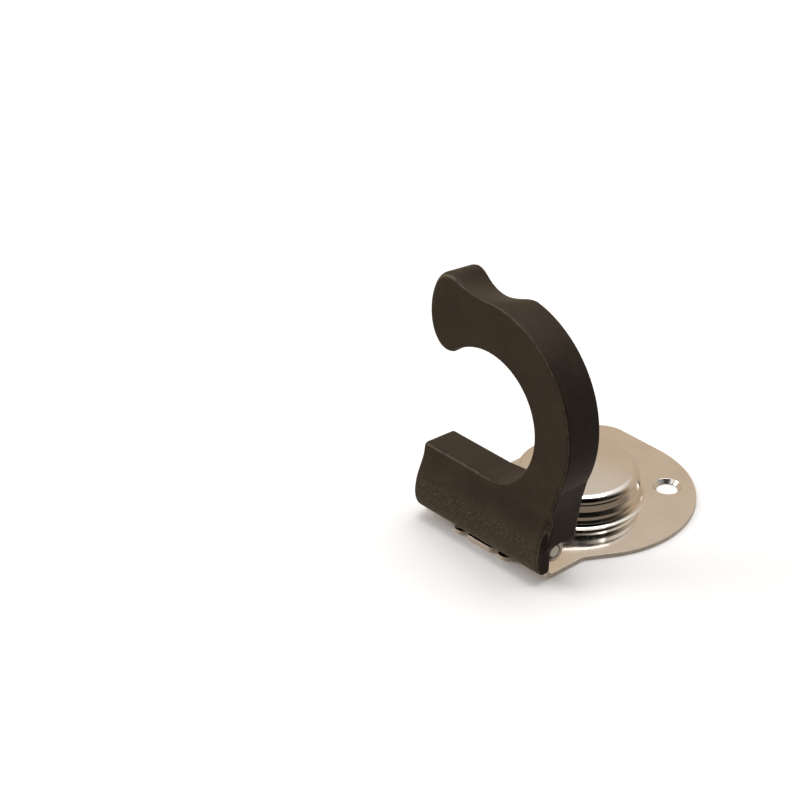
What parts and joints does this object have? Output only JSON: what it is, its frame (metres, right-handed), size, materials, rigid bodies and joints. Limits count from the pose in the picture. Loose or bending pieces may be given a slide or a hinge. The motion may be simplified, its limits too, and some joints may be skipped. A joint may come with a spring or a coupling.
{
  "type": "folding hook",
  "caption": "Fold-flat boat storage hook: a dark moulded C-shaped hook hinged on a polished stainless base plate with a stepped round boss and countersunk screw holes.",
  "frame": {"origin": "on the mounting face, straight below the middle of the hinge axis", "axes": "+X runs along the hinge, +Y from the hinge to the screw holes, and +Z out of the mounting surface"},
  "size_m": [0.0612, 0.0816, 0.0835],
  "materials": {
    "polished_stainless": "mirror polished",
    "pin_stainless": "polished, cut ends",
    "dark_moulding": "satin with a fine mottled grain"
  },
  "bodies": {
    "plate": {"base_plate": "polished_stainless", "hinge_pin": "pin_stainless"},
    "hook": {"hook": "dark_moulding"}
  },
  "joints": [
    {"name": "hinge", "type": "hinge", "parent": "plate", "child": "hook", "pos_m": [0, 0, 0.0087], "axis": [1, 0, 0], "range_deg": [-87, 0]}
  ]
}
